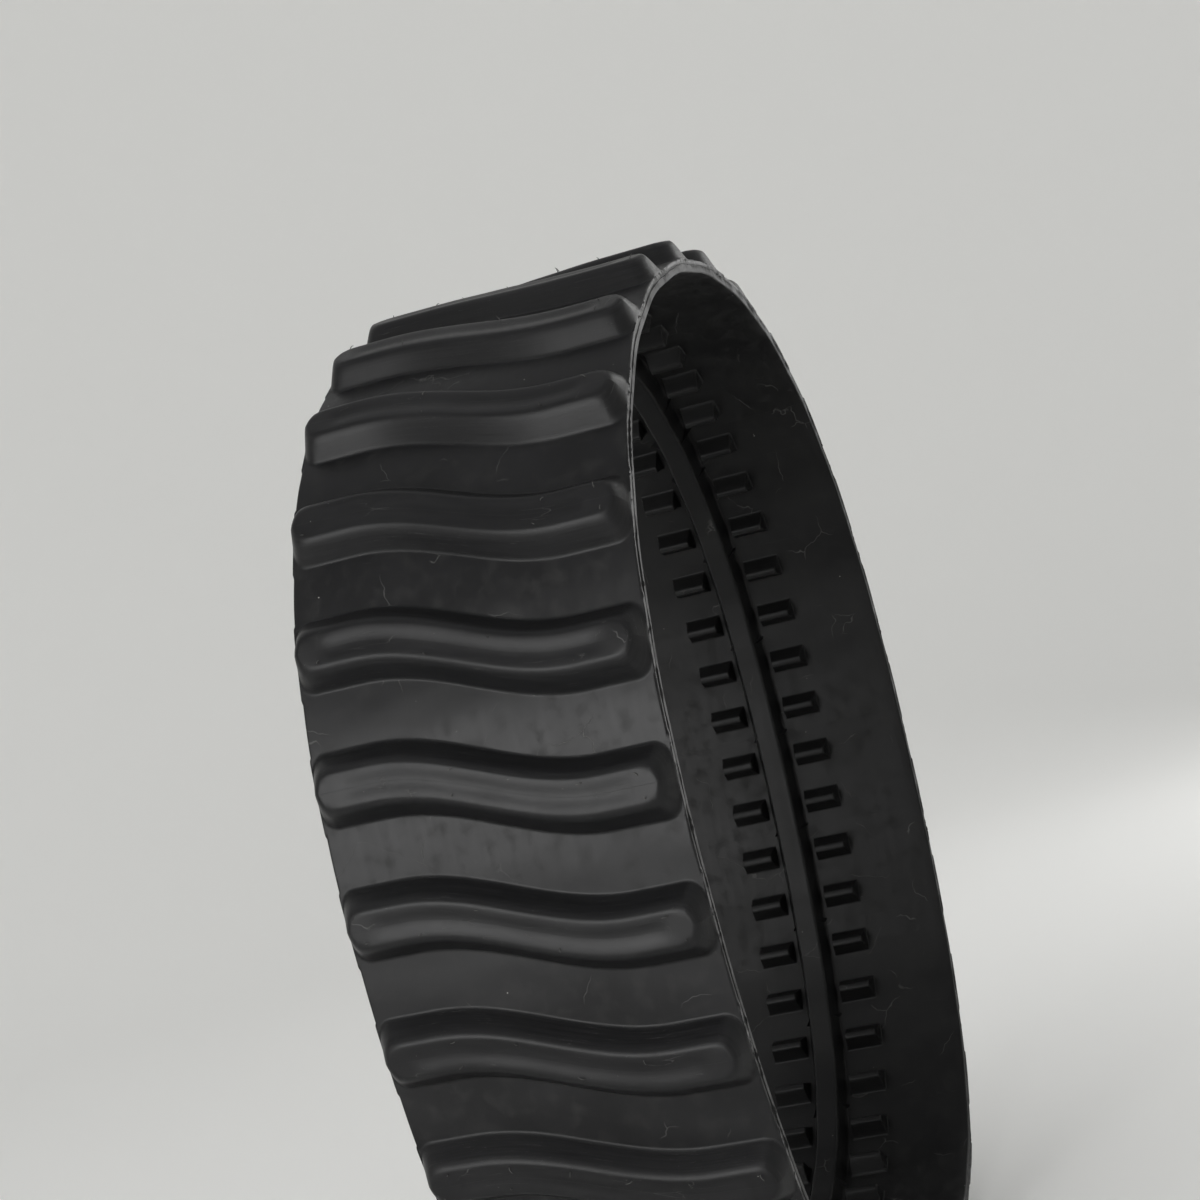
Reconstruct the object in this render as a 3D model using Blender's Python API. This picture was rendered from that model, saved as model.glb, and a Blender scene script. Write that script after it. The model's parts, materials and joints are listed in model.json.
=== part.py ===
"""Rubber track of a compact tracked loader, standing upright on its tread as a closed oval loop.

The belt is made link by link: one link is one tread pitch, cut across in the middle of the groove
between two lugs, where the real belt bends. A link has an outer rubber piece with one wave-shaped
tread lug and an inner, wheel-side rubber piece with the guide rail and four drive lugs. Between them
run the reinforcing layers, each one endless ring. Metres, +Z up, width along Y, the loop in the XZ
plane, the origin on the ground under the middle of the loop.
"""

import math

import bmesh
import bpy
import numpy as np
from mathutils import Vector

# Belt
BELT_WIDTH = 0.240
TREAD_PITCH = 0.08763
LINK_COUNT = 28
BEND_LENGTH = 0.050          # stretch of belt that bends at each groove, the rest stays flat
SKIN = 0.0028                # rubber over the reinforcement, on either face
CHANNEL = 0.0044             # height between the two rubber pieces, which holds the reinforcement

# Bend of the belt at each groove, in degrees before the loop is closed: from the middle of the
# bottom to half way up, and from there to the crown
LOWER_BENDS = (0.0, 22.0, 22.0, 17.0, 12.0, 8.0, 6.0)
UPPER_BENDS = (8.0, 12.0, 15.0, 16.0, 15.0, 13.0, 11.0)

# Tread lug
LUG_HEIGHT = 0.0165
GROOVE = 0.0396              # floor between the feet of two lugs
LUG_TOP = 0.0270
WAVE_SWING = 0.0185          # how far either end of a lug lies ahead of or behind its middle
WAVE_REACH = 0.076           # from the middle, how far out the slanted part runs
LUG_END_SLOPE = 0.0060       # how far the top stops short of the belt edge
WAVE_STEPS = 10

# Guide rail and drive lugs
RAIL_HEIGHT = 0.0160
RAIL_BASE = 0.0280
RAIL_TOP = 0.0180
DRIVE_LUG_HEIGHT = 0.0145
DRIVE_LUG_LENGTH = 0.0310    # across the belt
DRIVE_LUG_BASE = 0.0190      # along the belt
DRIVE_LUG_CREST = 0.0060
DRIVE_LUG_END_DRAFT = 0.0020
DRIVE_LUG_RAIL_GAP = 0.0045
DRIVE_LUGS_PER_PITCH = 2
DRIVE_LUG_ROOT = 0.0015      # sunk into the wheel-side skin

# Reinforcement
CORD_THICKNESS = 0.0009
PLY_THICKNESS = 0.0008
PLY_MARGIN = 0.0060          # rubber between the ply and the belt edge
CORD_MARGIN = 0.0120

# Cuts between links
CUT_GAP = 0.0008
RELIEF_DEG = 3.0             # each wheel-side end leans back, so that the link can bend inwards

FLAT = TREAD_PITCH - BEND_LENGTH
LUG_BASE = TREAD_PITCH - GROOVE
LAYER_GAP = (CHANNEL - CORD_THICKNESS - 2 * PLY_THICKNESS) / 4
FLOOR = CHANNEL / 2 + SKIN
GROUND_OFFSET = FLOOR + LUG_HEIGHT
HALF_PITCH = TREAD_PITCH / 2
EDGE = BELT_WIDTH / 2


def clear_scene():
    for obj in list(bpy.data.objects):
        bpy.data.objects.remove(obj, do_unlink=True)


def make_material(name, colour, roughness, metallic=0.0):
    material = bpy.data.materials.new(name)
    material.use_nodes = True
    shader = material.node_tree.nodes["Principled BSDF"]
    shader.inputs["Base Color"].default_value = (*colour, 1.0)
    shader.inputs["Roughness"].default_value = roughness
    shader.inputs["Metallic"].default_value = metallic
    return material


# ---------------------------------------------------------------- the line of the loop

def direction(angle):
    """Unit vector in the XZ plane, at an angle from +X towards +Z."""
    return np.array([math.cos(angle), math.sin(angle)])


def outward(angle):
    """Unit vector to the right of the direction of travel, which is the tread side."""
    return np.array([math.sin(angle), -math.cos(angle)])


def arc_step(angle, turn, length):
    """Where a circular arc of this length ends, when it starts at an angle and turns by turn."""
    return length * np.sinc(turn / 2 / math.pi) * direction(angle + turn / 2)


def walk(bends, count):
    """Centres and headings of the first links, from the bottom link on, with a bend between each."""
    centre = np.array([0.0, GROUND_OFFSET])
    angle = 0.0
    frames = [(centre, angle)]
    for bend in bends[:count]:
        centre = centre + FLAT / 2 * direction(angle) + arc_step(angle, bend, BEND_LENGTH)
        angle += bend
        centre = centre + FLAT / 2 * direction(angle)
        frames.append((centre, angle))
    return frames


def half_bends(balance):
    """The bends of one half of the loop, together half a turn; balance moves bend to the crown."""
    lower = np.array(LOWER_BENDS) * (1 - balance)
    upper = np.array(UPPER_BENDS) * (1 + balance)
    bends = np.concatenate([lower, upper])
    return bends * math.pi / bends.sum()


def closed_bends():
    """All bends of the loop, with the balance that brings the crown link over the bottom one."""
    low, high = -0.6, 0.6
    for _ in range(60):
        middle = (low + high) / 2
        crown_x = walk(half_bends(middle), LINK_COUNT // 2)[-1][0][0]
        if crown_x > 0:
            high = middle
        else:
            low = middle
    half = half_bends((low + high) / 2)
    return np.concatenate([half, half[::-1]])


BENDS = closed_bends()
LINKS = walk(BENDS, LINK_COUNT - 1)


def belt_point(link, along, off):
    """Point in XZ at a distance along the belt from the link's middle and off its neutral line."""
    centre, angle = LINKS[link]
    side = math.copysign(1.0, along)
    bend = BENDS[link] if along > 0 else BENDS[link - 1]
    straight = min(abs(along), FLAT / 2)
    curved = abs(along) - straight
    turn = side * bend * curved / BEND_LENGTH
    point = centre + side * straight * direction(angle) + side * arc_step(angle, turn, curved)
    return point + off * outward(angle + turn)


def flat_point(link, along, off):
    """The same on the link's own flat plane, which the stiff lug keeps."""
    centre, angle = LINKS[link]
    return centre + along * direction(angle) + off * outward(angle)


def hinge_point(link):
    """Neutral line in the groove by which a link hangs on its neighbour towards the bottom link."""
    along = -HALF_PITCH if link <= LINK_COUNT // 2 else HALF_PITCH
    return belt_point(link, along, 0.0)


def to_world(point, y):
    return Vector((point[0], y, point[1]))


# ---------------------------------------------------------------- meshes

def wrapped_grid(columns, rows, place, closed_rows=False):
    """Tube from a grid: place(column, row) gives each point, and the last column meets the first.
    The two open ends are filled, or joined when closed_rows is set."""
    mesh = bmesh.new()
    bmesh.ops.create_grid(mesh, x_segments=columns, y_segments=rows, size=1.0)
    for vertex in mesh.verts:
        column = round((vertex.co.x + 1) / 2 * columns) % columns
        row = round((vertex.co.y + 1) / 2 * rows)
        vertex.co = place(column, row % rows if closed_rows else row)
    bmesh.ops.remove_doubles(mesh, verts=mesh.verts, dist=1e-6)
    if not closed_rows:
        rims = [edge for edge in mesh.edges if edge.is_boundary]
        bmesh.ops.holes_fill(mesh, edges=rims, sides=0)
    bmesh.ops.dissolve_limit(
        mesh, angle_limit=math.radians(0.05), verts=mesh.verts[:], edges=mesh.edges[:]
    )
    bmesh.ops.recalc_face_normals(mesh, faces=mesh.faces)
    return mesh


def add_object(name, mesh, material, collection, parent=None, origin=Vector((0, 0, 0))):
    """Object from a world-space bmesh, with its origin moved to the given point."""
    bmesh.ops.translate(mesh, verts=mesh.verts, vec=-origin)
    data = bpy.data.meshes.new(name)
    mesh.to_mesh(data)
    mesh.free()
    if material:
        data.materials.append(material)
    obj = bpy.data.objects.new(name, data)
    collection.objects.link(obj)
    if parent:
        obj.parent = parent
    else:
        obj.location = origin
    return obj


def wave(y):
    """How far the tread lug lies along the belt: a smooth slanted middle between two straight ends."""
    share = max(-1.0, min(1.0, y / WAVE_REACH))
    return -WAVE_SWING * math.sin(math.pi / 2 * share)


def tread_mesh(link):
    """Outer skin of one link with its lug: groove floor, flank, flat top, flank, groove floor."""
    cut = HALF_PITCH - CUT_GAP / 2
    bend_middle = (FLAT / 2 + cut) / 2
    under = [cut, bend_middle, FLAT / 2, -FLAT / 2, -bend_middle, -cut]
    top_count = 8
    columns = top_count + len(under)

    def place(column, row):
        y = -EDGE + BELT_WIDTH * row / WAVE_STEPS
        if column >= top_count:
            return to_world(belt_point(link, under[column - top_count], CHANNEL / 2), y)
        middle = wave(y)
        side = -1 if column < top_count // 2 else 1
        step = column if side < 0 else top_count - 1 - column
        foot = middle + side * LUG_BASE / 2
        if step == 0:
            return to_world(belt_point(link, side * cut, FLOOR), y)
        if step == 1:
            return to_world(belt_point(link, (side * cut + foot) / 2, FLOOR), y)
        if step == 2:
            return to_world(belt_point(link, foot, FLOOR), y)
        top_y = max(-EDGE + LUG_END_SLOPE, min(EDGE - LUG_END_SLOPE, y))
        crest = flat_point(link, middle + side * LUG_TOP / 2, FLOOR + LUG_HEIGHT)
        return to_world(crest, top_y)

    return wrapped_grid(columns, WAVE_STEPS, place)


def wheel_side_mesh(link):
    """Inner skin of one link with its stretch of guide rail, as one profile carried along the belt."""
    roller_path = -FLOOR
    crest = roller_path - RAIL_HEIGHT
    profile = [
        (-EDGE, -CHANNEL / 2), (EDGE, -CHANNEL / 2), (EDGE, roller_path),
        (RAIL_BASE / 2, roller_path), (RAIL_TOP / 2, crest),
        (-RAIL_TOP / 2, crest), (-RAIL_BASE / 2, roller_path), (-EDGE, roller_path),
    ]
    bend_middle = (FLAT / 2 + HALF_PITCH) / 2
    stations = [-HALF_PITCH, -bend_middle, -FLAT / 2, FLAT / 2, bend_middle, HALF_PITCH]
    lean = math.tan(math.radians(RELIEF_DEG))

    def place(column, row):
        y, off = profile[column]
        along = stations[row]
        if row in (0, len(stations) - 1):
            along -= math.copysign(CUT_GAP / 2 - off * lean, along)
        return to_world(belt_point(link, along, off), y)

    return wrapped_grid(len(profile), len(stations) - 1, place)


def drive_lugs_mesh(link):
    """The link's drive lugs: tapered blocks in two rows beside the guide rail."""
    mesh = bmesh.new()
    spacing = TREAD_PITCH / DRIVE_LUGS_PER_PITCH
    inner_end = RAIL_BASE / 2 + DRIVE_LUG_RAIL_GAP
    y_middle = inner_end + DRIVE_LUG_LENGTH / 2
    for number in range(DRIVE_LUGS_PER_PITCH):
        along = (number + 0.5) * spacing - HALF_PITCH
        foot = belt_point(link, along, 0.0)
        ahead = belt_point(link, along, 1.0) - foot
        travel = np.array([-ahead[1], ahead[0]])
        for row in (-1, 1):
            block = bmesh.ops.create_cube(mesh, size=2.0)["verts"]
            for vertex in block:
                at_crest = vertex.co.z > 0
                reach = (DRIVE_LUG_CREST if at_crest else DRIVE_LUG_BASE) / 2
                width = DRIVE_LUG_LENGTH / 2 - (DRIVE_LUG_END_DRAFT if at_crest else 0.0)
                depth = FLOOR + DRIVE_LUG_HEIGHT if at_crest else FLOOR - DRIVE_LUG_ROOT
                point = foot + vertex.co.x * reach * travel - depth * ahead
                vertex.co = to_world(point, row * y_middle + vertex.co.y * width)
    bmesh.ops.recalc_face_normals(mesh, faces=mesh.faces)
    return mesh


def ring_mesh(middle, thickness, margin):
    """Endless flat ring in the channel, at a height off the neutral line."""
    half_width = EDGE - margin
    profile = [
        (-half_width, middle - thickness / 2), (half_width, middle - thickness / 2),
        (half_width, middle + thickness / 2), (-half_width, middle + thickness / 2),
    ]
    bend_middle = (FLAT / 2 + HALF_PITCH) / 2
    stations = [-bend_middle, -FLAT / 2, FLAT / 2, bend_middle, HALF_PITCH]

    def place(column, row):
        y, off = profile[column]
        link, station = divmod(row, len(stations))
        return to_world(belt_point(link, stations[station], off), y)

    return wrapped_grid(len(profile), LINK_COUNT * len(stations), place, closed_rows=True)


# ---------------------------------------------------------------- pieces

def add_hinges(collection):
    """One empty per link at its hinge, each hanging on the next one towards the bottom link."""
    hinges = {}
    half = LINK_COUNT // 2
    order = [0, *range(1, half + 1), *range(LINK_COUNT - 1, half, -1)]
    for link in order:
        empty = bpy.data.objects.new(f"hinge_{link + 1:02d}", None)
        empty.empty_display_size = 0.01
        collection.objects.link(empty)
        place = to_world(hinge_point(link), 0.0) if link else Vector((0, 0, GROUND_OFFSET))
        before = link - 1 if link <= half else (link + 1) % LINK_COUNT
        if link:
            empty.parent = hinges[before][0]
            empty.location = place - hinges[before][1]
        else:
            empty.location = place
        hinges[link] = (empty, place)
    return hinges


def add_links(collection, cutters, rubber_outer, rubber_inner):
    hinges = add_hinges(collection)
    for link in range(LINK_COUNT):
        parent, origin = hinges[link]
        label = f"{link + 1:02d}"
        add_object(f"tread_link_{label}", tread_mesh(link), rubber_outer, collection, parent, origin)
        inner = add_object(
            f"wheel_side_link_{label}", wheel_side_mesh(link), rubber_inner, collection, parent, origin
        )
        lugs = add_object(
            f"drive_lug_blocks_{label}", drive_lugs_mesh(link), None, cutters, parent, origin
        )
        lugs.hide_render = True
        lugs.display_type = "WIRE"
        union = inner.modifiers.new("drive_lugs", "BOOLEAN")
        union.operation = "UNION"
        union.object = lugs


def add_reinforcement(collection, cord, ply):
    ply_height = CORD_THICKNESS / 2 + LAYER_GAP + PLY_THICKNESS / 2
    add_object("steel_cord_belt", ring_mesh(0.0, CORD_THICKNESS, CORD_MARGIN), cord, collection)
    outer = ring_mesh(ply_height, PLY_THICKNESS, PLY_MARGIN)
    add_object("fabric_ply_outer", outer, ply, collection)
    inner = ring_mesh(-ply_height, PLY_THICKNESS, PLY_MARGIN)
    add_object("fabric_ply_inner", inner, ply, collection)


def main():
    clear_scene()
    track = bpy.data.collections.new("rubber_track")
    cutters = bpy.data.collections.new("cutters")
    bpy.context.scene.collection.children.link(track)
    bpy.context.scene.collection.children.link(cutters)
    rubber_outer = make_material("tread_rubber", (0.022, 0.022, 0.023), 0.55)
    rubber_inner = make_material("wheel_side_rubber", (0.018, 0.018, 0.019), 0.6)
    cord = make_material("steel_cord", (0.45, 0.42, 0.38), 0.4, metallic=1.0)
    ply = make_material("ply_fabric", (0.16, 0.14, 0.11), 0.85)
    add_links(track, cutters, rubber_outer, rubber_inner)
    add_reinforcement(track, cord, ply)


main()
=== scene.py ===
# %% [markdown]
# # A rubber track
#
# The object is the endless rubber track of a compact loader, standing on its tread. The real one is a
# single moulding: carbon-black rubber pressed round steel cords in a heated mould, with a wave-shaped lug
# for each pitch outside, and a guide rail between two rows of drive lugs inside. This lesson builds it as
# surfaces worked out with numpy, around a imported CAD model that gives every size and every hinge.

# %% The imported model
import json
import math

import bpy
import numpy as np
from mathutils import Matrix, Vector


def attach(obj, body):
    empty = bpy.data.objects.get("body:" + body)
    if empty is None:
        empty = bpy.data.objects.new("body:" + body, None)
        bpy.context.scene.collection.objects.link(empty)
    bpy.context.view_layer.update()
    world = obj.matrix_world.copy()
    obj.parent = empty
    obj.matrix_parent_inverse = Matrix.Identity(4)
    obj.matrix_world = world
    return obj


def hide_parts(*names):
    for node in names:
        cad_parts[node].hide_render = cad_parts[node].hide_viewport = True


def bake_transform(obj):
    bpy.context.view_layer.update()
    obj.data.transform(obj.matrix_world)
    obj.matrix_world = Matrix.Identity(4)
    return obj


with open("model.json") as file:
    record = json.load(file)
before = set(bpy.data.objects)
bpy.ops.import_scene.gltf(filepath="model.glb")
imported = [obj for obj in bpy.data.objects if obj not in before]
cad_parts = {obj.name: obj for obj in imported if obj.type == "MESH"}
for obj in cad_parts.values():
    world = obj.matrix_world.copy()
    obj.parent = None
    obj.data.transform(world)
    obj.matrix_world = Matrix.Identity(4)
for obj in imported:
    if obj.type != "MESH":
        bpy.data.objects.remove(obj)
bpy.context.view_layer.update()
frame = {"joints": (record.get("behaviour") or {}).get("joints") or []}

# %% [markdown]
# ## The line of the belt
#
# The steel cords can't stretch, so the length of the belt along them is fixed: 28 pitches. All else is
# measured from that neutral line. A belt bends where it is thin, in the grooves between two lugs, and
# stays straight under a lug. So the line could be an ellipse or a spline, but straights joined by arcs
# say what the rubber does, and each link's own flat keeps its lug stiff. Each half of the loop turns
# half a turn; the bends are those of the CAD model, where the belt sags on to the ground and rises to
# a round crown.

# %% Sizes of the belt, in metres
PITCH = 0.08763
LINK_COUNT = 28
BEND_LENGTH = 0.050
HALF_PITCH = PITCH / 2
HALF_FLAT = (PITCH - BEND_LENGTH) / 2
EDGE = 0.240 / 2                     # half of the belt's width
SKIN = 0.0050                        # from the neutral line to either face of the belt
LOWER_BENDS = (0.0, 22.0, 22.0, 17.0, 12.0, 8.0, 6.0)
UPPER_BENDS = (8.0, 12.0, 15.0, 16.0, 15.0, 13.0, 11.0)
LUG_HEIGHT = 0.0165


# %% Directions and arcs
def direction(angle):
    """Unit vector in the XZ plane: the cosine and sine of an angle from +X towards +Z."""
    return np.stack([np.cos(angle), np.sin(angle)], axis=-1)


def outward(angle):
    """Unit vector a quarter turn to the right of the direction, which is the tread side."""
    return np.stack([np.sin(angle), -np.cos(angle)], axis=-1)


def arc_step(angle, turn, length):
    """Where an arc ends: its chord, which is its length times sin(turn/2)/(turn/2), half turned."""
    chord = length * np.sinc(turn / 2 / math.pi)
    return chord[..., None] * direction(angle + turn / 2)


def walk(bends):
    """Middle and heading of every link, from the bottom one on: half a flat, an arc, half a flat."""
    centre, angle = np.array([0.0, SKIN + LUG_HEIGHT]), 0.0
    centres, angles = [centre], [angle]
    for bend in bends:
        centre = centre + HALF_FLAT * direction(angle) + arc_step(angle, bend, np.array(BEND_LENGTH))
        angle = angle + bend
        centre = centre + HALF_FLAT * direction(angle)
        centres.append(centre)
        angles.append(angle)
    return np.array(centres), np.array(angles)


def half_bends(balance):
    """Bends of one half of the loop, scaled to half a turn; balance moves bend up to the crown."""
    lower = np.array(LOWER_BENDS) * (1 - balance)
    upper = np.array(UPPER_BENDS) * (1 + balance)
    bends = np.concatenate([lower, upper])
    return bends * math.pi / bends.sum()


# %% Closing the loop
low, high = -0.6, 0.6
for _ in range(60):
    balance = (low + high) / 2
    crown_x = walk(half_bends(balance))[0][-1][0]
    low, high = (low, balance) if crown_x > 0 else (balance, high)

BENDS = np.concatenate([half_bends(balance), half_bends(balance)[::-1]])
CENTRES, ANGLES = walk(BENDS[:-1])
print("bends in degrees", np.round(np.degrees(BENDS[:14]), 1), "crown", CENTRES[14].round(4))


# %% Points on the belt and on a lug's own flat
def belt_at(distance, off):
    """Point at a distance along the neutral line and off it: the link's middle, half a flat, the arc
    of the groove up to there, then straight out along the normal."""
    link = np.floor(distance / PITCH + 0.5).astype(int)
    along = distance - link * PITCH
    side = np.where(along > 0, 1.0, -1.0)
    bend = np.where(along > 0, BENDS[link % LINK_COUNT], BENDS[(link - 1) % LINK_COUNT])
    straight = np.minimum(np.abs(along), HALF_FLAT)
    curved = np.abs(along) - straight
    turn = side * bend * curved / BEND_LENGTH
    angle = ANGLES[link % LINK_COUNT]
    run = straight[..., None] * direction(angle) + arc_step(angle, turn, curved)
    return CENTRES[link % LINK_COUNT] + side[..., None] * run + off[..., None] * outward(angle + turn)


def flat_at(link, along, off):
    """The same on one link's flat plane, carried on past its ends, because a lug doesn't bend."""
    angle = ANGLES[link % LINK_COUNT]
    return CENTRES[link % LINK_COUNT] + along[..., None] * direction(angle) + off[..., None] * outward(angle)


hinges = belt_at((np.arange(LINK_COUNT) + 0.5) * PITCH, np.zeros(LINK_COUNT))
framed = np.array([[j["pos_m"][0], j["pos_m"][2]] for j in frame["joints"]])
apart = np.linalg.norm(framed[:, None] - hinges[None], axis=-1).min(axis=1)
print("hinges of the frame lie within", round(apart.max() * 1000, 4), "mm of this line")

# %% [markdown]
# ## The shape of the tread
#
# Each lug is one wave across the belt, tall and flat on top, with sloping flanks so that the mould lets
# go of it. It could be made from a box with bevels, but a bevel on a curved, leaning edge is uneven.
# Here a lug is the lowest of three slopes, its top, its flanks and its ends, joined by a soft minimum,
# which rounds every edge to the radius that a mould cutter leaves. Its top is dished a little along the
# middle, and the dish runs out before the ends.

# %% Sizes of the tread, in metres
LUG_BASE = 0.0480
LUG_TOP = 0.0270
LUG_END_SLOPE = 0.0060
WAVE_SWING = 0.0185                  # how far either end of a lug lies ahead of or behind its middle
WAVE_REACH = 0.0760                  # from the middle, how far out the slanted part runs
TOP_ROUNDING = 0.0052                # heights over which two slopes merge
CORNER_ROUNDING = 0.0340
FOOT_ROUNDING = 0.0016
DISH_DEPTH = 0.0010
DISH_HALF_WIDTH = 0.0095
DISH_END = 0.0230                    # from the belt's edge to where the dish begins
DISH_RUN_OUT = 0.0100                # over which it grows to its full depth
BELT_CORNER = 0.0013


# %% The lug as a height
def soft_min(first, second, width):
    """The lower of two heights, rounded where they are less than width apart."""
    share = np.clip(0.5 + 0.5 * (second - first) / width, 0, 1)
    return second + (first - second) * share - width * share * (1 - share)


def smooth_step(value):
    """From 0 to 1 with a level start and end: three squares less two cubes."""
    value = np.clip(value, 0, 1)
    return value * value * (3 - 2 * value)


def wave(y):
    """How far a lug lies ahead along the belt: a quarter sine either way, held straight at the ends."""
    return -WAVE_SWING * np.sin(math.pi / 2 * np.clip(y / WAVE_REACH, -1, 1))


def lug_height(away, y):
    """Height over the groove's floor, at a distance from the lug's middle line and a place across."""
    flank = LUG_HEIGHT * (LUG_BASE / 2 - np.abs(away)) / ((LUG_BASE - LUG_TOP) / 2)
    end = LUG_HEIGHT * (EDGE - np.abs(y)) / LUG_END_SLOPE
    dish = 0.5 + 0.5 * np.cos(math.pi * np.clip(away / DISH_HALF_WIDTH, -1, 1))
    dish = DISH_DEPTH * dish * smooth_step((EDGE - DISH_END - np.abs(y)) / DISH_RUN_OUT)
    side = soft_min(flank, end, CORNER_ROUNDING)
    raised = soft_min(LUG_HEIGHT - dish, side, TOP_ROUNDING)
    return -soft_min(-raised, np.zeros_like(raised), FOOT_ROUNDING)


# %% [markdown]
# ## The shape of the wheel side
#
# Inside runs one guide rail, which keeps the rollers on the belt, and beside it the drive lugs, two to a
# pitch in each row, which the sprocket's teeth push on. The bands outside them are smooth, because the
# rollers run there. All of it is again one height, counted inwards.

# %% Sizes of the wheel side, in metres
RAIL_HEIGHT = 0.0160
RAIL_BASE = 0.0280
RAIL_TOP = 0.0180
DRIVE_HEIGHT = 0.0145
DRIVE_LENGTH = 0.0310                # across the belt
DRIVE_BASE = 0.0190                  # along the belt
DRIVE_CREST = 0.0060
DRIVE_END_DRAFT = 0.0020
DRIVE_RAIL_GAP = 0.0045
DRIVE_MIDDLE = RAIL_BASE / 2 + DRIVE_RAIL_GAP + DRIVE_LENGTH / 2
WHEEL_SIDE_ROUNDING = 0.0026


# %% Rail and drive lugs as a height
def wheel_side_height(distance, y):
    """Height inwards: the rail's flat and flanks, plus the nearest drive lug's crest, faces and ends."""
    rail = RAIL_HEIGHT * (RAIL_BASE / 2 - np.abs(y)) / ((RAIL_BASE - RAIL_TOP) / 2)
    rail = soft_min(rail, np.full_like(rail, RAIL_HEIGHT), WHEEL_SIDE_ROUNDING)
    away = np.abs((distance % HALF_PITCH) - HALF_PITCH / 2)
    face = DRIVE_HEIGHT * (DRIVE_BASE / 2 - away) / ((DRIVE_BASE - DRIVE_CREST) / 2)
    across = DRIVE_LENGTH / 2 - np.abs(np.abs(y) - DRIVE_MIDDLE)
    lug = soft_min(face, DRIVE_HEIGHT * across / DRIVE_END_DRAFT, WHEEL_SIDE_ROUNDING)
    lug = soft_min(lug, np.full_like(lug, DRIVE_HEIGHT), WHEEL_SIDE_ROUNDING)
    nothing = np.zeros_like(rail)
    return -soft_min(-rail, nothing, FOOT_ROUNDING) - soft_min(-lug, nothing, FOOT_ROUNDING)


# %% [markdown]
# ## What the mould and the trimming knife leave
#
# A hot mould never gives a true plane: the rubber shrinks unevenly as it cools, and the skin ends up
# very slightly wavy, which is what makes its highlights wander. A displacement texture could do that
# after the fact. A sum of long waves is used instead, because it repeats exactly once round the loop
# and so meets itself at every seam. The same sum, made sharper, gives the ragged fin of flash along
# the parting line, which the trimmer cuts by hand.

# %% Waviness and flash
LOOP = LINK_COUNT * PITCH
rng = np.random.default_rng(28)


def wave_sum(count, most_turns, most_across):
    """A function of distance and place across: a sum of cosines with whole turns round the loop."""
    turns = rng.integers(3, most_turns, count)
    across = rng.uniform(-most_across, most_across, count)
    phase = rng.uniform(0, 2 * math.pi, count)

    def value(distance, y):
        angle = 2 * math.pi * (np.multiply.outer(distance / LOOP, turns) + np.multiply.outer(y, across))
        return np.cos(angle + phase).sum(axis=-1) / math.sqrt(count)
    return value


skin_waves = wave_sum(14, 90, 16.0)
trim_waves = wave_sum(18, 900, 0.0)
SKIN_WAVE = 0.00011
FLASH = 0.00055


def flash_at(distance, y):
    """How far the flash stands out: nothing where the knife ran close, and a ragged fin elsewhere."""
    long_run = smooth_step(0.5 + 0.6 * skin_waves(distance, 3 * y))
    return FLASH * long_run * (0.35 + np.abs(trim_waves(distance, y + EDGE)))


# %% [markdown]
# ## One span of the belt
#
# The belt has to bend when the loop is squeezed, and it bends in the grooves, across the hinges. So it is
# cut where it never bends, along the middle line of each lug, and a span runs from one lug's middle to
# the next with its hinge in the groove between them. Each span is a closed tube: rows run along the
# belt, and each row goes once round the section, over the tread, down one edge, back along the wheel
# side and up the other edge. The rows crowd together on the shoulders, where the surface turns. A narrow
# row beside each cut keeps the shading level across it, and so in the middle, where one span is cut too.

# %% Stations for rows and columns
def stations(stops, counts):
    """Distances from the first stop to the last, each stretch cut into its own count of equal steps."""
    pieces = [np.linspace(a, b, n, endpoint=False) for a, b, n in zip(stops, stops[1:], counts)]
    return np.append(np.concatenate(pieces), stops[-1])


def both_ways(half, middle):
    """The half list and its mirror image about a middle, with the middle once."""
    return np.concatenate([half, (2 * middle - half[::-1])[1:]])


SEAM_ROW = 0.0001
tread_stops = (0, SEAM_ROW, 0.0090, 0.0165, 0.0210, 0.0265, HALF_PITCH - SEAM_ROW, HALF_PITCH)
tread_rows = both_ways(stations(tread_stops, (1, 5, 8, 3, 6, 8, 1)), HALF_PITCH)
crest, face = DRIVE_CREST / 2, DRIVE_BASE / 2
quarter = HALF_PITCH / 2
wheel_stops = (0, SEAM_ROW, quarter - face - 0.0015, quarter - face + 0.002, quarter - crest - 0.002,
               quarter - crest + 0.001, quarter + crest - 0.001, quarter + crest + 0.002,
               quarter + face - 0.002, quarter + face + 0.0015, HALF_PITCH - SEAM_ROW, HALF_PITCH)
wheel_rows = both_ways(stations(wheel_stops, (1, 4, 4, 2, 4, 2, 4, 2, 4, 4, 1)), HALF_PITCH)
MIDDLE_ROW = len(tread_rows) // 2

LUG_END_COLUMN = 0.108               # from here out the columns crowd and follow the rounded corner
tread_columns = stations((0, LUG_END_COLUMN, EDGE), (24, 12))
tread_columns = np.concatenate([-tread_columns[:0:-1], tread_columns])
drive_near, drive_far = DRIVE_MIDDLE - DRIVE_LENGTH / 2, DRIVE_MIDDLE + DRIVE_LENGTH / 2
wheel_column_stops = (0, RAIL_TOP / 2 - 0.002, RAIL_TOP / 2 + 0.0015, RAIL_BASE / 2 - 0.0015,
                      RAIL_BASE / 2 + 0.0015, drive_near - 0.001, drive_near + 0.003, drive_far - 0.003,
                      drive_far + 0.001, EDGE - BELT_CORNER)
wheel_columns = stations(wheel_column_stops, (2, 4, 1, 3, 2, 6, 4, 6, 8))
wheel_columns = np.concatenate([wheel_columns[:0:-1], -wheel_columns])
print("rows", len(tread_rows), len(wheel_rows), "columns", len(tread_columns), len(wheel_columns))


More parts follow.
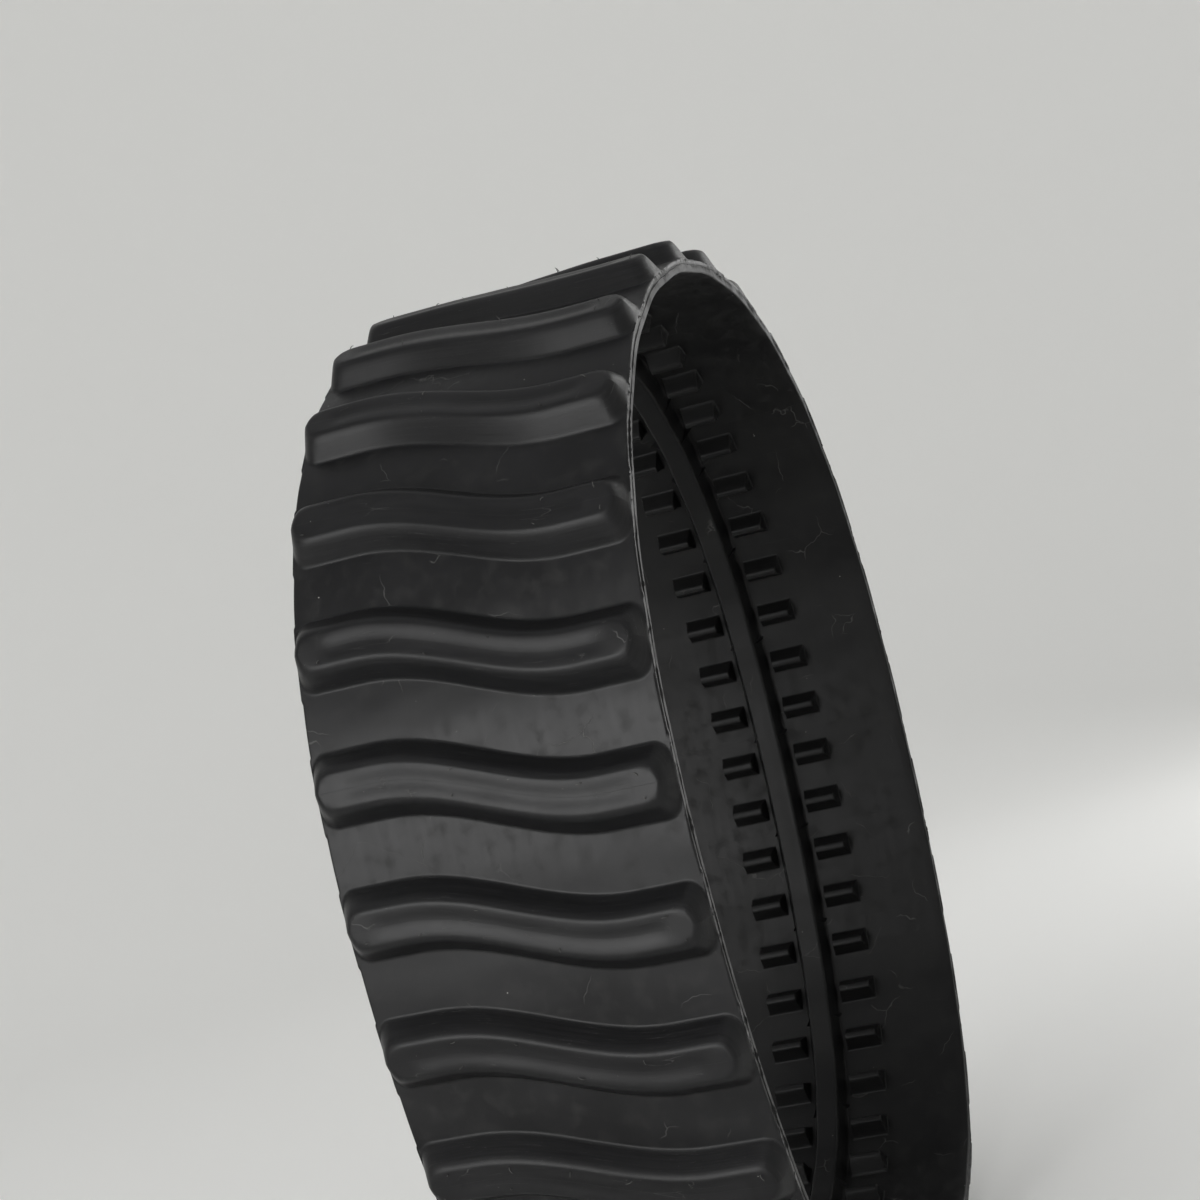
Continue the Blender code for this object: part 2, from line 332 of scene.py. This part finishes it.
# %% The edge of the belt, from the tread's corner to the wheel side's
# The two halves of the mould part just above the neutral line: there is a fine groove, then the fin of
# flash, then a strip that stands a little proud of the tread's half.
STEP_IN = 0.0004
PARTING_GROOVE = 0.0008
CORNER_TURN = np.radians([30, 60, 90])


def edge_section(corner, flash):
    """How far in from the edge and how far off the neutral line each point of the edge lies, a row at a
    time: a quarter round, a step, a groove, the fin, a flat strip and another quarter round."""
    step = STEP_IN * corner / BELT_CORNER
    flat = np.zeros_like(corner)
    rounds = [(1 - math.sin(turn), 1 - math.cos(turn)) for turn in CORNER_TURN]
    points = [(step + corner * share, SKIN - corner * down) for share, down in rounds]
    points += [(step, flat + 0.0014), (step + PARTING_GROOVE, flat + 0.0011)]
    points += [(step + PARTING_GROOVE, flat + 0.0007), (flat, flat + 0.0005)]
    points += [(-flash, flat + 0.0003), (-flash, flat + 0.0001), (flat, flat - 0.0001)]
    points += [(flat + BELT_CORNER * share, flat - SKIN + BELT_CORNER * down) for share, down in rounds[::-1]]
    inset, off = zip(*points)
    return np.stack(inset, axis=1), np.stack(off, axis=1)


# %% The four sides of a span
def tread_side(hinge, rows):
    """Tread of one span: a point of the belt, moved towards the lug's own flat by its share of height."""
    link = (hinge + (rows > HALF_PITCH))[:, None]
    away = rows[:, None] - (link - hinge) * PITCH
    under_lug = smooth_step((LUG_BASE / 2 + 0.0020 - np.abs(away)) / 0.005)
    corner = BELT_CORNER * (1 - under_lug)
    inset = corner * (1 + STEP_IN / BELT_CORNER)
    near_edge = np.clip((np.abs(tread_columns) - LUG_END_COLUMN) / (EDGE - LUG_END_COLUMN), 0, 1)
    y = np.sign(tread_columns) * (np.abs(tread_columns) - near_edge * inset)
    distance = hinge * PITCH + rows[:, None] + wave(y)
    rise = lug_height(away, y) / LUG_HEIGHT
    skin = SKIN + SKIN_WAVE * skin_waves(distance, y)
    belt = belt_at(distance, skin)
    lug = flat_at(link, distance - link * PITCH, skin + LUG_HEIGHT)
    return belt + rise[..., None] * (lug - belt), y, distance, rise, corner[:, 0]


def wheel_side(hinge, rows):
    """Wheel side of one span: a point of the belt, moved inwards by the height there."""
    y = np.broadcast_to(wheel_columns, (len(rows), len(wheel_columns)))
    distance = hinge * PITCH + rows[:, None] + 0 * y
    height = wheel_side_height(distance, y)
    skin = SKIN + height + SKIN_WAVE * skin_waves(distance + LOOP / 3, y)
    return belt_at(distance, -skin), y, distance, height / RAIL_HEIGHT


def edge_side(hinge, side, tread_distance, wheel_distance, corner):
    """One edge of a span, between the distances along the belt that its two rims have."""
    inset, off = edge_section(corner, flash_at(wheel_distance, side * EDGE))
    share = (np.arange(inset.shape[1]) + 1) / (inset.shape[1] + 1)
    distance = tread_distance[:, None] * (1 - share) + wheel_distance[:, None] * share
    return belt_at(distance, off), side * (EDGE - inset), distance, 0 * off


# %% A span as a closed mesh
TREAD_FACES, WHEEL_SIDE_FACES = 0, 1
LEFT_STRIP, RIGHT_STRIP = 4, 6       # faces of either edge that belong to the tread's half


def span_grid(hinge, first, last):
    """Points, places and heights of a span, row by row once round the section."""
    rows, inner_rows = tread_rows[first:last + 1], wheel_rows[first:last + 1]
    tread_xz, tread_y, tread_s, tread_rise, corner = tread_side(hinge, rows)
    wheel_xz, wheel_y, wheel_s, wheel_rise = wheel_side(hinge, inner_rows)
    left = edge_side(hinge, 1, tread_s[:, -1], wheel_s[:, 0], corner)
    right = edge_side(hinge, -1, tread_s[:, 0], wheel_s[:, -1], corner)
    sides = [(tread_xz, tread_y, tread_s, tread_rise), left, (wheel_xz, wheel_y, wheel_s, wheel_rise),
             tuple(part[:, ::-1] for part in right)]
    xz, y, s, rise = (np.concatenate(part, axis=1) for part in zip(*sides))
    points = np.stack([xz[..., 0], y, xz[..., 1]], axis=-1)
    return points, np.stack([s, y, rise], axis=-1)


def closed_tube(row_count, ring):
    """Faces of a tube of rows: a quad between each pair of neighbours, the ring's last joined to its
    first, and both ends closed by a strip between the tread's points and the wheel side's."""
    index = np.arange(row_count * ring).reshape(row_count, ring)
    after = np.roll(index, -1, axis=1)
    sides = np.stack([index[:-1], after[:-1], after[1:], index[1:]], axis=-1).reshape(-1, 4)
    columns, edge_points = len(tread_columns), (ring - 2 * len(tread_columns)) // 2
    caps = []
    for row, turned in ((0, False), (row_count - 1, True)):
        tread = index[row, :columns]
        inner = index[row, columns + edge_points:2 * columns + edge_points][::-1]
        strip = np.stack([tread[:-1], tread[1:], inner[1:], inner[:-1]], axis=-1)
        left = index[row, columns - 1:columns + edge_points + 1]
        right = np.append(index[row, 2 * columns + edge_points - 1:], index[row, 0])
        found = [list(map(int, face)) for face in [*strip, left, right]]
        caps += found if turned else [face[::-1] for face in found]
    return sides.tolist(), caps


def add_mesh(name, points, faces, smooth_count, materials, slots):
    """An object at the origin with its place in its mesh; the faces after the first few stay flat."""
    mesh = bpy.data.meshes.new(name)
    mesh.from_pydata(points.reshape(-1, 3).tolist(), [], faces)
    smooth = np.arange(len(faces)) < smooth_count
    mesh.polygons.foreach_set("use_smooth", smooth)
    for material in materials:
        mesh.materials.append(material)
    mesh.polygons.foreach_set("material_index", slots.astype(np.int32))
    mesh.update()
    obj = bpy.data.objects.new(name, mesh)
    bpy.context.scene.collection.objects.link(obj)
    return obj


def add_places(mesh, places):
    """Stores at each point its distance along the belt, its place across and its share of height."""
    layer = mesh.attributes.new("belt_place", "FLOAT_VECTOR", "POINT")
    layer.data.foreach_set("vector", places.astype(np.float32).ravel())


def signed_volume(points, faces):
    """Volume inside the faces, counted positive when they face outwards: a sum of tetrahedra."""
    flat = points.reshape(-1, 3)
    fans = [(face[0], face[i], face[i + 1]) for face in faces for i in range(1, len(face) - 1)]
    corners = flat[np.array(fans)]
    return np.einsum("ij,ij->", corners[:, 0], np.cross(corners[:, 1], corners[:, 2])) / 6


def make_span(name, hinge, first, last):
    """One span of the belt, or the half of it between two rows."""
    points, places = span_grid(hinge, first, last)
    rows, ring = points.shape[:2]
    sides, caps = closed_tube(rows, ring)
    slots = np.full(ring, WHEEL_SIDE_FACES)
    slots[:len(tread_columns) + LEFT_STRIP] = TREAD_FACES
    slots[-RIGHT_STRIP:] = TREAD_FACES
    slots = np.concatenate([np.tile(slots, rows - 1), np.full(len(caps), TREAD_FACES)])
    faces = sides + caps
    obj = add_mesh(name, points, faces, len(sides), [tread_rubber, wheel_side_rubber], slots)
    add_places(obj.data, places)
    return obj, signed_volume(points, faces)

# %% [markdown]
# ## The rubber
#
# Track rubber is natural rubber filled with carbon black, pressed and cured in a steel mould. What the
# eye gets from that: an almost black body, a satin skin that mirrors the mould's own polish, faint
# streaks where the rubber flowed, grey bloom and dust that settle in the grooves, and pale specks and
# hairline scuffs from handling. A photo texture could carry all of this, but patterns measured along
# the belt follow every bend of it, so they are drawn from the belt's own place: the distance along it,
# the place across it and the height.

# %% Colours and nodes
def linear(hex_colour):
    """An sRGB hex colour as linear red, green, blue and full alpha."""
    channels = [int(hex_colour[i:i + 2], 16) / 255 for i in (1, 3, 5)]
    return [c / 12.92 if c <= 0.04045 else ((c + 0.055) / 1.055) ** 2.4 for c in channels] + [1.0]


def add_node(tree, kind, values, **settings):
    """A node with its settings, and for each input a constant or the socket that feeds it."""
    node = tree.nodes.new(kind)
    for setting, value in settings.items():
        setattr(node, setting, value)
    for name, value in values.items():
        if isinstance(value, bpy.types.NodeSocket):
            tree.links.new(value, node.inputs[name])
        else:
            node.inputs[name].default_value = value
    return node


# %% Track rubber
def track_rubber(name, body, worn, bloom, gloss):
    """Moulded carbon-black rubber: a body colour, a lighter worn one, grey bloom and a satin gloss."""
    material = bpy.data.materials.new(name)
    material.use_nodes = True
    tree = material.node_tree
    shader = tree.nodes["Principled BSDF"]
    place = add_node(tree, "ShaderNodeAttribute", {}, attribute_name="belt_place").outputs["Vector"]

    def noise(millimetres, detail, stretch=(1, 1, 1)):
        """Cloudy pattern whose patches are about this wide, stretched along, across and up."""
        scaled = add_node(tree, "ShaderNodeVectorMath", {0: place, 1: stretch}, operation="MULTIPLY")
        values = {"Vector": scaled.outputs[0], "Scale": 1000 / millimetres, "Detail": detail}
        return add_node(tree, "ShaderNodeTexNoise", values).outputs[0]

    def between(value, low, high, to_low=0.0, to_high=1.0):
        """A value carried from one range to another, held at both ends."""
        values = {0: value, 1: low, 2: high, 3: to_low, 4: to_high}
        return add_node(tree, "ShaderNodeMapRange", values).outputs[0]

    def product(first, second):
        return add_node(tree, "ShaderNodeMath", {0: first, 1: second}, operation="MULTIPLY").outputs[0]

    def total(first, second):
        return add_node(tree, "ShaderNodeMath", {0: first, 1: second}, operation="ADD").outputs[0]

    def blended(share, first, second):
        return add_node(tree, "ShaderNodeMix", {0: share, 6: first, 7: second}, data_type="RGBA").outputs[2]

    # Patches of 70 mm, where the rubber flowed in at different times
    patches = between(noise(70, 3), 0.35, 0.65)
    # Streaks 5 mm wide and 100 mm long, running along the belt, as the mould was polished
    streaks = between(noise(5, 4, (0.05, 1, 0.3)), 0.3, 0.7)
    # Bloom and dust, in blots of 14 mm, mostly low in the grooves
    height = add_node(tree, "ShaderNodeSeparateXYZ", {0: place}).outputs[2]
    low_down = between(height, 0.05, 0.9, 1.0, 0.25)
    dust = product(between(noise(14, 8), 0.50, 0.78), low_down)
    # Specks of 0.8 mm, one in each 12 mm cell where the cell's number is high
    cells = add_node(tree, "ShaderNodeTexVoronoi", {"Vector": place, "Scale": 1000 / 12})
    rare = between(add_node(tree, "ShaderNodeSeparateXYZ", {0: cells.outputs[1]}).outputs[0], 0.78, 0.80)
    specks = product(between(cells.outputs[0], 0.030, 0.045, 1.0, 0.0), rare)
    # Hairline scuffs along the borders of wandering 60 mm cells, here and there
    warp = add_node(tree, "ShaderNodeTexNoise", {"Vector": place, "Scale": 40.0, "Detail": 3.0})
    bent = add_node(tree, "ShaderNodeVectorMath", {0: warp.outputs[1], 1: (0.02,) * 3, 2: place},
                    operation="MULTIPLY_ADD")
    borders = add_node(tree, "ShaderNodeTexVoronoi", {"Vector": bent.outputs[0], "Scale": 1000 / 60},
                       feature="DISTANCE_TO_EDGE")
    scuffs = product(between(borders.outputs[0], 0.002, 0.006, 1.0, 0.0), between(noise(40, 2), 0.55, 0.62))

    colour = blended(patches, linear(body), linear(worn))
    colour = blended(product(dust, 0.40), colour, linear(bloom))
    colour = blended(product(specks, 0.8), colour, linear("#9a9a96"))
    colour = blended(product(scuffs, 0.35), colour, linear("#5c5c5a"))
    tree.links.new(colour, shader.inputs["Base Color"])
    roughness = total(between(streaks, 0, 1, gloss - 0.02, gloss + 0.03), product(dust, 0.20))
    tree.links.new(total(roughness, product(patches, 0.05)), shader.inputs["Roughness"])

    # Relief in tenths of a millimetre: mould grain of 1.6 mm, streaks and scuffs
    grain = add_node(tree, "ShaderNodeBump", {"Height": noise(1.6, 2), "Strength": 0.25, "Distance": 0.0001})
    drawn = add_node(tree, "ShaderNodeBump", {"Height": streaks, "Strength": 0.15, "Distance": 0.0001,
                                              "Normal": grain.outputs[0]})
    scored = add_node(tree, "ShaderNodeBump", {"Height": scuffs, "Strength": 0.5, "Distance": 0.0002,
                                               "Normal": drawn.outputs[0]}, invert=True)
    tree.links.new(scored.outputs[0], shader.inputs["Normal"])
    # The fine grain swallows part of the gloss, so the skin mirrors less than polished rubber would
    shader.inputs["IOR"].default_value = 1.30
    return material


tread_rubber = track_rubber("moulded_tread_rubber", "#0f0f10", "#161617", "#2a2a29", 0.36)
wheel_side_rubber = track_rubber("moulded_wheel_side_rubber", "#0b0b0c", "#121212", "#20201f", 0.46)
# A hair is thin and is the same black rubber, but its colour is painted paler than the block it grew from: a
# painted highlight for the light that a thin hair catches all round
hair_rubber = track_rubber("vent_rubber_painted_highlight", "#3c3c3b", "#4c4c4a", "#6a6a68", 0.50)

# %% [markdown]
# ## The belt, span by span
#
# Each span curves between its two links, over the part of the belt that is an arc. The CAD model leaves
# one hinge of the ring open, because a chain of joints can't close on itself. The span there is cut in
# the groove, and each half rides on its own link.

# %% The spans
OPEN_HINGE = 10


def link_name(number):
    return f"link_{number % LINK_COUNT + 1:02d}"


spans = []
for hinge in range(LINK_COUNT):
    name = f"belt_span_{hinge + 1:02d}"
    before, after = link_name(hinge), link_name(hinge + 1)
    stands_for = [f"tread_{before}", f"wheel_side_{before}"]
    if hinge == OPEN_HINGE:
        lower, volume = make_span(name + "_lower_half", hinge, 0, MIDDLE_ROW)
        upper, _ = make_span(name + "_upper_half", hinge, MIDDLE_ROW, len(tread_rows) - 1)
        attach(lower, before)
        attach(upper, after)
        span = lower
    else:
        span, volume = make_span(name, hinge, 0, len(tread_rows) - 1)
        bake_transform(span)
    if hinge == 0:
        stands_for += ["steel_cord_belt", "fabric_ply_outer", "fabric_ply_inner"]
    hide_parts(*stands_for)
    spans.append(span)
print("spans", len(spans), "faces in one", len(spans[0].data.polygons),
      "volume in litres", round(volume * 1000, 3))

# %% [markdown]
# ## Vent hairs
#
# Air leaves the mould through holes as thin as a needle. The rubber that follows it stays on the lug as a
# short hair, until wear takes it off. Particle hair would scatter them faster, but it isn't a solid. Each
# hair here is a thin tapering tube along an arc, rooted in its lug and leaning its own way. The lugs that
# stand on the ground have lost theirs.

# %% Sizes of the hairs, in metres
HAIR_LENGTHS = (0.0025, 0.0065)
HAIR_BENDS = (0.6, 2.2)              # from root to tip, in radians
HAIR_RADIUS = 0.00042
HAIR_TAPER = 0.6                     # share of the radius that is gone at the tip
HAIR_ROOT = 0.0008                   # sunk into the lug
VENT_ROW = 0.0085                    # from the lug's middle line
VENT_SPAN = 0.100                    # from the belt's middle to the last vent
VENT_SHIFT = 0.006                   # by which a vent may stand off its place across
VENTS_ACROSS = 6
VENT_SHARE = 0.45                    # of the vents that still have their hair
HAIR_STATIONS, HAIR_CORNERS = 7, 6
GROUND_LINKS = (26, 27, 0, 1, 2)


# %% Hairs of one lug
def hair_points(link):
    """Points of the hairs by hair, station and corner. Each spine is an arc that leaves the lug along its
    normal and bends by its angle; each ring lies square to the spine and shrinks towards the tip."""
    y, row = (grid.ravel() for grid in np.meshgrid(
        np.linspace(-VENT_SPAN, VENT_SPAN, VENTS_ACROSS), (-VENT_ROW, VENT_ROW)))
    kept = rng.random(y.size) < VENT_SHARE
    y, row = y[kept] + rng.uniform(-VENT_SHIFT, VENT_SHIFT, kept.sum()), row[kept]
    length, bend = (rng.uniform(*ends, len(y))[:, None, None] for ends in (HAIR_LENGTHS, HAIR_BENDS))
    heading = rng.uniform(0, 2 * math.pi, len(y))[:, None, None]
    (along_x, along_z), (out_x, out_z) = direction(ANGLES[link]), outward(ANGLES[link])
    normal = np.array([out_x, 0, out_z])
    lean = np.cos(heading) * np.array([along_x, 0, along_z]) + np.sin(heading) * np.array([0, 1, 0])
    root = flat_at(link, wave(y) + row, np.full_like(y, SKIN + LUG_HEIGHT - HAIR_ROOT))
    root = np.stack([root[:, 0], y, root[:, 1]], axis=-1)[:, None]
    station = np.linspace(0, 1, HAIR_STATIONS)[:, None]
    turn = bend * station
    spine = root + length / bend * (np.sin(turn) * normal + (1 - np.cos(turn)) * lean)
    ahead = np.cos(turn) * normal + np.sin(turn) * lean
    side = np.cross(normal, lean) + 0 * ahead
    up = np.cross(ahead, side)
    corner = np.linspace(0, 2 * math.pi, HAIR_CORNERS, endpoint=False)[:, None]
    radius = HAIR_RADIUS * (1 - HAIR_TAPER * station[:, None])
    return spine[:, :, None] + radius * (np.cos(corner) * side[:, :, None] + np.sin(corner) * up[:, :, None])


def tube_faces(tubes, stations_each, corners):
    """Faces of several tubes: quads between neighbours round each, and a face over either end."""
    index = np.arange(tubes * stations_each * corners).reshape(tubes, stations_each, corners)
    after = np.roll(index, -1, axis=2)
    sides = np.stack([index[:, :-1], after[:, :-1], after[:, 1:], index[:, 1:]], axis=-1).reshape(-1, 4)
    return sides.tolist(), index[:, 0, ::-1].tolist() + index[:, -1].tolist()


# %% The hairs
hair_count = 0
for link in sorted(set(range(LINK_COUNT)) - set(GROUND_LINKS)):
    points = hair_points(link)
    sides, ends = tube_faces(*points.shape[:3])
    hairs = add_mesh(f"vent_hairs_{link + 1:02d}", points, sides + ends, len(sides), [hair_rubber],
                     np.zeros(len(sides + ends)))
    add_places(hairs.data, points)
    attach(hairs, link_name(link))
    hair_count += len(points)
print("hairs", hair_count, "volume of the last lug's in cubic mm",
      round(signed_volume(points, sides + ends) * 1e9, 2))

# %% [markdown]
# ## Floor, light and camera
#
# A black object shows itself by what it mirrors. A hard lamp would give small white dots on the satin
# rubber; a large soft box beside the camera lays a broad, even sheen on every surface that faces it
# and leaves the flanks of the lugs dark. A narrow box from behind draws a bright line down the edge.

# %% Floor
def add_floor(flat_radius, rise_radius, wall_height, count):
    """A round floor with a swept rim: each point is a radius, an angle and a height. The radius runs over
    the flat floor, then a quarter turn of the rise, then up the wall, so that no horizon shows."""
    turn = np.linspace(0, math.pi / 2, 33)
    radius = np.concatenate([[0.001, flat_radius / 2], flat_radius + rise_radius * np.sin(turn)])
    height = np.concatenate([[0, 0], rise_radius * (1 - np.cos(turn))])
    radius, height = np.append(radius, radius[-1]), np.append(height, wall_height)
    angle = np.linspace(0, 2 * math.pi, count, endpoint=False)
    ring = radius[:, None]
    points = np.stack([ring * np.cos(angle), ring * np.sin(angle), height[:, None] + 0 * angle], axis=-1)
    index = np.arange(len(radius) * count).reshape(len(radius), count)
    after = np.roll(index, -1, axis=1)
    faces = np.stack([index[:-1], index[1:], after[1:], after[:-1]], axis=-1).reshape(-1, 4).tolist()
    faces.append(index[0].tolist())
    material = bpy.data.materials.new("painted_studio_floor")
    material.use_nodes = True
    shader = material.node_tree.nodes["Principled BSDF"]
    shader.inputs["Base Color"].default_value = linear("#f4f4f2")
    shader.inputs["Roughness"].default_value = 0.9
    floor = add_mesh("studio_floor", points, faces, len(faces), [material], np.zeros(len(faces)))


add_floor(2.2, 2.8, 4.5, 128)


# %% Lights
def add_softbox(name, azimuth, elevation, distance, size, watts, aim):
    """An area lamp at an azimuth, an elevation and a distance from what it is aimed at."""
    lamp = bpy.data.lights.new(name, "AREA")
    lamp.shape = "RECTANGLE"
    lamp.size, lamp.size_y = size
    lamp.energy = watts
    obj = bpy.data.objects.new(name, lamp)
    bpy.context.scene.collection.objects.link(obj)
    obj.matrix_world = placed(azimuth, elevation, distance, aim)


def placed(azimuth, elevation, distance, aim, roll=0.0):
    """Matrix of a thing that looks at a point from an azimuth (0 looks along +Y) and an elevation."""
    a, e = math.radians(azimuth), math.radians(elevation)
    away = Vector((math.sin(a) * math.cos(e), -math.cos(a) * math.cos(e), math.sin(e)))
    turn = (-away).to_track_quat("-Z", "Y").to_matrix().to_4x4()
    rolled = turn @ Matrix.Rotation(math.radians(roll), 4, "Z")
    return Matrix.Translation(Vector(aim) + distance * away) @ rolled


add_softbox("front_softbox", -104, 4, 2.5, (2.0, 1.8), 70, (-0.3, 0, 0.40))
add_softbox("edge_strip", 65, 12, 2.4, (0.4, 1.8), 12, (0, 0, 0.5))

world = bpy.data.worlds.new("white_studio")
bpy.context.scene.world = world
world.use_nodes = True
world.node_tree.nodes["Background"].inputs[0].default_value = linear("#ffffff")
world.node_tree.nodes["Background"].inputs[1].default_value = 0.55
bpy.context.scene.view_settings.view_transform = "Standard"

# %% Camera
LENS = 74.0
camera_data = bpy.data.cameras.new("camera")
camera_data.lens = LENS
camera = bpy.data.objects.new("camera", camera_data)
bpy.context.scene.collection.objects.link(camera)
camera.matrix_world = placed(-72.6, 2.3, 1.85, (-0.047, 0, 0.581), roll=-14.2)
bpy.context.scene.camera = camera
